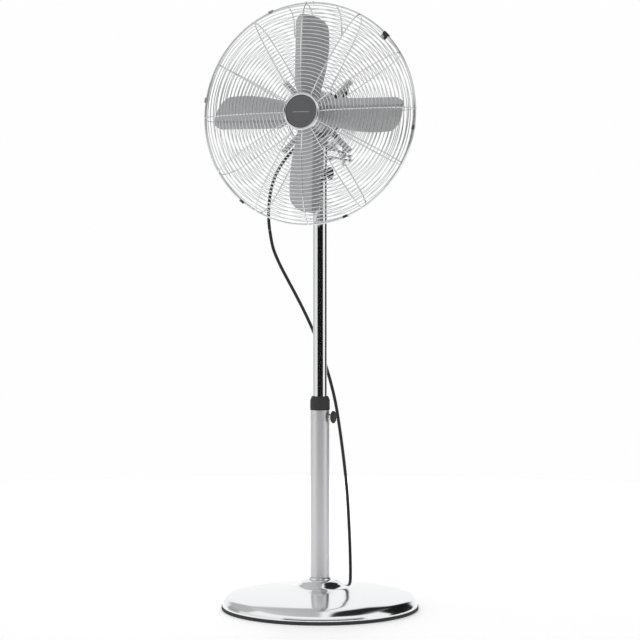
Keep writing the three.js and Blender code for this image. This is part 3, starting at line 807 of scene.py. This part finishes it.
# ---- head ----------------------------------------------------------------------------------
def bell_radius(y):
    t = max(0, (y - 62) / (MOTOR_BACK - 62))
    return MOTOR_R * math.sqrt(1 - 0.86 * t * t)


class FAN_OT_motor(Build, bpy.types.Operator):
    """The motor's two shells, the casting under it and its knobs"""
    bl_idname = "fan.motor"
    bl_label = "Motor"

    def execute(self, context):
        edge = context.scene.fan_sizes.edge
        bell = [(bell_radius(y), y) for y in (62, 68, 74, 80, 86, 91, 96, 100, 104, 107, 109, 110)]
        inside = [(r - 2, min(y, MOTOR_BACK - 2)) for r, y in bell][::-1]
        shell = ([(MOTOR_R, 20.3), (MOTOR_R, 22), (MOTOR_R - 0.7, 22.6), (MOTOR_R - 0.7, 24.4),
                  (MOTOR_R, 25)] + bell
                 + [(9.4, MOTOR_BACK), (9.4, MOTOR_BACK - 2)] + inside + [(MOTOR_R - 2, 20.3)])
        slot = block((36, 50), (93, 108), (-2.2, 2.2))
        slots = [turned_to(slot, a * 360 / SLOTS) for a in range(SLOTS)]
        piece("motor_bell", lathe(shell, "y", 144), "chrome", "head", "motor_rear_shell", HEAD,
              cut=[moved(disc(3.6, -80, 80), Matrix.Translation((WORM_X, WORM_Y, 0))),
                   moved(disc(3.6, 90, 120, "y"), Matrix.Translation((0, 0, SWITCH_Z))),
                   joined(*slots)])
        front = [(9.4, -22), (44, -22), (47.6, -21.8), (50.6, -20.6), (52.8, -18.6), (54.4, -16),
                 (55, -13), (55, 20), (53, 20), (53, -13), (50, -18), (44, -20), (9.4, -20)]
        piece("motor_face", lathe(front, "y", 144), "chrome", "head", "motor_front_shell", HEAD)
        low = NECK_TOP + GAP - AXIS_Z
        piece("motor_saddle", block((-20, 20), (-12, 46), (-57, -46)), "chrome", "head",
              "motor_base", HEAD, edge=edge * 2,
              add=[disc(UPPER_R, low, -46, "z", 96), block((6, 28), (8, WORM_Y), (-66, -61)),
                   block((6, 24), (8, 40), (-62, -54)),
                   moved(disc(11, -66, -61), Matrix.Translation((WORM_X - 5, WORM_Y, 0)))],
              cut=[disc(MOTOR_R + GAP, -40, 120, "y", 144), disc(6.1, -90, -55),
                   moved(disc(3.6, -90, -40), Matrix.Translation((WORM_X, WORM_Y, 0)))])
        pull = [(0, 50), (4.6, 50), (4.6, 56), (5.6, 57.6), (7.2, 59.6), (8.0, 62.5), (8.2, 66),
                (7.6, 69), (6, 71.2), (3.4, 72), (0, 72)]
        piece("swing_knob", moved(lathe(pull, "z", 64), Matrix.Translation((WORM_X, WORM_Y, 0))),
              "black_plastic", "oscillation_knob", "oscillation_knob", HEAD)

        def grip(angle, r):
            return 1 - 0.05 * (0.5 - 0.5 * math.cos(18 * angle)) if r > 10 else 1

        dial = [(0, MOTOR_BACK + 0.8), (12, MOTOR_BACK + 0.8), (13, MOTOR_BACK + 1.8),
                (12.6, MOTOR_BACK + 12.6), (11.4, MOTOR_BACK + 14), (0, MOTOR_BACK + 14)]
        at_switch = Matrix.Translation((0, 0, SWITCH_Z))
        piece("speed_dial", moved(lathe(dial, "y", 144, grip), at_switch), "black_plastic",
              "speed_knob", "speed_knob", HEAD,
              add=[moved(disc(3, 86, MOTOR_BACK + 2, "y"), at_switch)])
        return {"FINISHED"}


def front_skin(r):
    deep, wide = 7, 40
    dish = deep * max(0, 1 - (r - BADGE_R) / wide) ** 1.3
    return RIM_Y - 2 - FRONT_BOWL * (1 - (r / RIM_R) ** 4.5) ** 0.55 + dish


def rear_skin(r):
    return RIM_Y + 2 + REAR_BOWL * (1 - (r / RIM_R) ** 9) ** 0.45


def spoke_radii(inner):
    """Closer together near the rim, where the wire turns."""
    last = 30
    return [inner + (RIM_R - inner) * math.sin(math.pi / 2 * (i / last)) ** 0.8
            for i in range(last + 1)]


class FAN_OT_cage(Build, bpy.types.Operator):
    """Both halves of the wire cage and the straps that carry it"""
    bl_idname = "fan.cage"
    bl_label = "Cage"

    def execute(self, context):
        sizes = context.scene.fan_sizes
        ring_half = sizes.ring_wire / MM / 2
        spoke_half = sizes.spoke_wire / MM / 2
        for name, node, skin, count, inner, rim_y, turn, out in (
                ("cage_front", "front_grille", front_skin, sizes.front_rings, BADGE_R,
                 RIM_Y - RIM_WIRE, FRONT_TURN, -1),
                ("cage_rear", "rear_grille", rear_skin, sizes.rear_rings, REAR_OPENING - 1,
                 RIM_Y + RIM_WIRE, REAR_TURN, 1)):
            parts = [hoop(RIM_R, rim_y, RIM_WIRE - 0.1, 192, 12)]
            lift = out * (spoke_half + ring_half * 0.7)
            for k in range(1, count + 1):
                r = RIM_R - RING_PITCH * k
                parts.append(hoop(r, skin(r) + lift, ring_half))
            for k in range(SPOKES):
                route = [(r, skin(r), 0) for r in spoke_radii(inner)]
                parts.append(turned_to(wire(route, spoke_half, 8), turn + k * 360 / SPOKES))
            if out > 0:
                parts.append(hoop(REAR_OPENING - 1, skin(REAR_OPENING), 1.5))
                parts += self.stay_wires(skin, spoke_half)
            else:
                parts.append(lathe([(0, CAGE_FRONT - 1), (36.4, CAGE_FRONT - 1), (37, -113.4),
                                    (37, -112.2), (36.4, CAGE_FRONT + 1.2), (0, -111.8)], "y"))
                parts += [turned_to(hoop_bead(), angle) for angle in BEAD_ANGLES]
            piece(name, joined(*parts), "chrome", "head", node, HEAD, sharp=50)
        self.bracket()
        return {"FINISHED"}

    def stay_wires(self, skin, half):
        """Two short upright wires at the top of the rear half."""
        made = []
        low, tall, steps = 162, 51, 12
        for x in (-50, 50):
            heights = [low + tall * t / steps for t in range(steps + 1)]
            route = [(x, skin(math.hypot(x, z)) + 1.6, z) for z in heights]
            made.append(wire(route, half, 8))
        return made

    def bracket(self):
        """Four ribbed straps on a ring, with their screws."""
        ridge = [(-3, -24.5), (-2.2, -25), (-1.2, -25.7), (1.2, -25.7), (2.2, -25), (3, -24.5)]
        section = [(-6, -24.4), (-5.4, -24.9)] + ridge[1:-1] + [(5.4, -24.9), (6, -24.4),
                                                                (6, -22.8), (-6, -22.8)]
        bar = strip(section, STRAP_FROM, STRAP_TO)
        laid = moved(bar, Matrix.Rotation(math.radians(90), 4, "Y"))
        straps = [turned_to(laid, a) for a in STRAP_ANGLES]
        band = [(24, -26.6), (24.6, -27), (45.2, -27), (46, -26.2), (46, -22.4), (24, -22.4)]
        piece("guard_straps", joined(lathe(band, "y", 96), *straps), "chrome", "head",
              "guard_bracket", HEAD)
        screw = lathe([(0, -25.2), (3.6, -25.2), (3.6, -26.2), (2.8, -27.2), (0, -27.6)], "y", 24)
        screws = [turned_to(moved(screw, Matrix.Translation((STRAP_SCREW_R, 0, 0))), a)
                  for a in STRAP_ANGLES]
        piece("guard_screws", joined(*screws), "black_plastic", "head", place=HEAD)


def hoop_bead():
    """A small hanger bead on the rim, drawn at +X."""
    bead = lathe([(RIM_WIRE, -1.6), (3.0, -1.2), (3.4, 0), (3.0, 1.2), (RIM_WIRE, 1.6)], "z", 24)
    return moved(bead, Matrix.Translation((RIM_R, RIM_Y - RIM_WIRE, 0)))


class FAN_OT_badge(Build, bpy.types.Operator):
    """The plain disc on the front of the cage and its rim"""
    bl_idname = "fan.badge"
    bl_label = "Badge"

    def execute(self, context):
        face = CAGE_FRONT - 1 - GAP
        bezel = [(32.4, face), (37.6, face), (38, face - 0.5), (38, face - 5.4), (37.6, face - 7),
                 (36.6, face - 8.4), (35.2, face - 9), (33.8, face - 8.8), (32.8, face - 8),
                 (32.4, face - 7)]
        piece("badge_rim", lathe(bezel, "y", 128), "chrome", "head", "badge_bezel", HEAD)
        plate = [(0, face - 7), (23.2, face - 7), (23.5, face - 6.6), (24.1, face - 6.6),
                 (24.4, face - 7), (31.4, face - 7), (32, face - 6.4), (32, face), (0, face)]
        line = strip([(-17, face - 7.5), (17, face - 7.5), (17, face - 6.8), (-17, face - 6.8)],
                     -1.6, -0.8)
        piece("badge_disc", lathe(plate, "y", 128), "badge_metal", "head", "badge", HEAD)
        piece("badge_line", line, "brushed_tube", "head", place=HEAD)
        return {"FINISHED"}


def clip_section():
    """A sprung strip that curls round the rear rim and hooks over the front one."""
    inside, outside, front, tip = 2.3, 3.7, -5.7, -2.4
    curl = [math.radians(a) for a in range(0, 111, 10)]
    section = [(tip, front), (outside - 0.6, front), (outside, front + 0.6)]
    section += [(outside * math.cos(a), RIM_WIRE + outside * math.sin(a)) for a in curl]
    section += [(inside * math.cos(a), RIM_WIRE + inside * math.sin(a)) for a in curl[::-1]]
    section += [(inside, front + outside - inside), (tip, front + outside - inside)]
    return [(RIM_R + x, RIM_Y + y) for x, y in section]


class FAN_OT_clips(Build, bpy.types.Operator):
    """The sprung clips round the rim and the one with a screw"""
    bl_idname = "fan.clips"
    bl_label = "Clips"

    def execute(self, context):
        edge = context.scene.fan_sizes.edge
        for i in range(CLIPS):
            angle = CLIP_START - i * CLIP_STEP
            name = f"rim_clip_{i + 1}"
            piece(f"sprung_clip_{i + 1}", turned_to(strip(clip_section(), -5.5, 5.5), angle),
                  "chrome", name, name, HEAD, edge=edge * 0.7)
        tabs = [block((RIM_R - 11, RIM_R - 1), (RIM_Y + y, RIM_Y + y + 1.4), (-4.5, 4.5))
                for y in (-5.7, 4.3)]
        hole = moved(disc(2.2, -20, 20, "y"), Matrix.Translation((RIM_R - CLIP_SCREW_IN, RIM_Y, 0)))
        parts = [turned_to(p, CLIP_SCREW_ANGLE) for p in (strip(clip_section(), -6, 6), *tabs)]
        piece("screwed_clip", parts[0], "black_plastic", "head", "lock_clip", HEAD,
              edge=edge * 0.7, add=parts[1:], cut=[turned_to(hole, CLIP_SCREW_ANGLE)])
        return {"FINISHED"}


# ---- rotor ---------------------------------------------------------------------------------
def blade_part():
    """A pressed blade: a straight edge folded back, a flat rake and a bulged trailing part."""
    along, across = 44, 24
    half = 0.6
    crease, fold = -14, 13
    edge_rake, face_rake, rear_rake = 0.3, 0.22, 0.05
    crisp, rounding = 0.35, 1.6
    span = BLADE_TIP - BLADE_ROOT

    def lie(t):
        rake = edge_rake if t < crease else face_rake
        soft = math.sqrt((t - crease) ** 2 + rounding ** 2) - rounding
        away = crisp * abs(t - crease) + (1 - crisp) * soft
        return BLADE_Y + rake * away + rear_rake * max(0, t - fold)

    def point(i, j, side):
        u = i / along
        bulge = fold + 25.7 * math.sin(math.pi * min(1, 0.1 + 0.6 * u)) ** 1.2
        tip = math.sqrt(max(0, 1 - max(0, (u - 0.8) / 0.2) ** 2.4))
        lead = -12 - 17 * min(1, 5 * u) + 9 * max(0, (u - 0.9) / 0.1) ** 2
        trail = lead + 8 + (bulge - lead - 8) * tip
        t = lead + (trail - lead) * j / across
        return (t, lie(t) + side * half, BLADE_ROOT + u * span)

    points, faces = [], []
    width = across + 1
    for side in (1, -1):
        points += [point(i, j, side) for i in range(along + 1) for j in range(width)]
    back = (along + 1) * width
    for i in range(along):
        for j in range(across):
            a = i * width + j
            faces.append((a, a + 1, a + width + 1, a + width))
            faces.append((back + a, back + a + width, back + a + width + 1, back + a + 1))
    outline = ([j for j in range(across)] + [i * width + across for i in range(along)]
               + [along * width + j for j in range(across, 0, -1)]
               + [i * width for i in range(along, 0, -1)])
    for a, b in zip(outline, outline[1:] + outline[:1]):
        faces.append((a, back + a, back + b, b))
    return points, faces


class FAN_OT_rotor(Build, bpy.types.Operator):
    """The four blades, their hub and nut"""
    bl_idname = "fan.rotor"
    bl_label = "Blades"

    def execute(self, context):
        edge = context.scene.fan_sizes.edge
        for i in range(BLADES):
            piece(f"fan_blade_{i + 1}", turned_to(blade_part(), -i * 360 / BLADES), "blade_metal",
                  "rotor", f"blade_{i + 1}", HEAD, edge=edge * 0.5, sharp=40)
        hub = [(4.3, -94), (17.4, -94), (19.6, -93.4), (22.4, -91), (23.7, -88.8), (24, -86),
               (24, -67), (23.4, -66), (14, -63), (10, -62), (4.3, -62)]
        piece("hub", lathe(hub, "y", 96), "brushed_tube", "rotor", "blade_hub", HEAD)
        nut = [(4.3, -94.3), (10.6, -94.3), (11, -94.8), (11, -98.8), (10.4, -100.6), (8.4, -103.4),
               (6.4, -105), (4.3, -105)]

        def flats(angle, r):
            if r < 9:
                return 1
            step = math.pi / 3
            inside = (angle % step) - step / 2
            return min(1, 0.92 / math.cos(inside))

        piece("hub_nut", lathe(nut, "y", 96, flats), "chrome", "rotor", "blade_nut", HEAD)
        return {"FINISHED"}


class FAN_OT_inner_parts(Build, bpy.types.Operator):
    """Finishes for the pieces that come from the frame as they are"""
    bl_idname = "fan.inner_parts"
    bl_label = "Inner parts"

    def execute(self, context):
        for row in frame["record"]["subparts"]:
            node = frame["nodes"][row["node"]]
            made = material(row["material_slot"])
            if not node.material_slots:
                node.data.materials.append(made)
            for held in node.material_slots:
                held.link = "OBJECT"
                held.material = made
        return {"FINISHED"}


class FAN_PT_panel(bpy.types.Panel):
    """Sidebar list of the fan's operators"""
    bl_idname = "FAN_PT_panel"
    bl_label = "Pedestal fan"
    bl_space_type = "VIEW_3D"
    bl_region_type = "UI"
    bl_category = "Fan"

    def draw(self, context):
        for group in (context.scene.fan_sizes, context.scene.fan_colours):
            column = self.layout.column(align=True)
            for key in group.bl_rna.properties.keys():
                if key not in ("rna_type", "name"):
                    column.prop(group, key)
        for operator in OPERATORS:
            self.layout.operator(operator.bl_idname)


OPERATORS = (FAN_OT_stage, FAN_OT_cords, FAN_OT_cage, FAN_OT_badge, FAN_OT_clips, FAN_OT_rotor,
             FAN_OT_motor, FAN_OT_neck, FAN_OT_upper_column, FAN_OT_lower_column, FAN_OT_foot,
             FAN_OT_inner_parts)
CLASSES = (FanSizes, FanColours, *OPERATORS, FAN_PT_panel)


def register():
    for entry in CLASSES:
        bpy.utils.register_class(entry)
    bpy.types.Scene.fan_sizes = bpy.props.PointerProperty(type=FanSizes)
    bpy.types.Scene.fan_colours = bpy.props.PointerProperty(type=FanColours)


def unregister():
    del bpy.types.Scene.fan_colours
    del bpy.types.Scene.fan_sizes
    for entry in reversed(CLASSES):
        bpy.utils.unregister_class(entry)


def main():
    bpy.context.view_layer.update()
    register()
    for operator in OPERATORS:
        group, name = operator.bl_idname.split(".")
        if getattr(getattr(bpy.ops, group), name)() != {"FINISHED"}:
            raise RuntimeError(f"{operator.bl_label} was not finished")


if __name__ == "__main__":
    main()
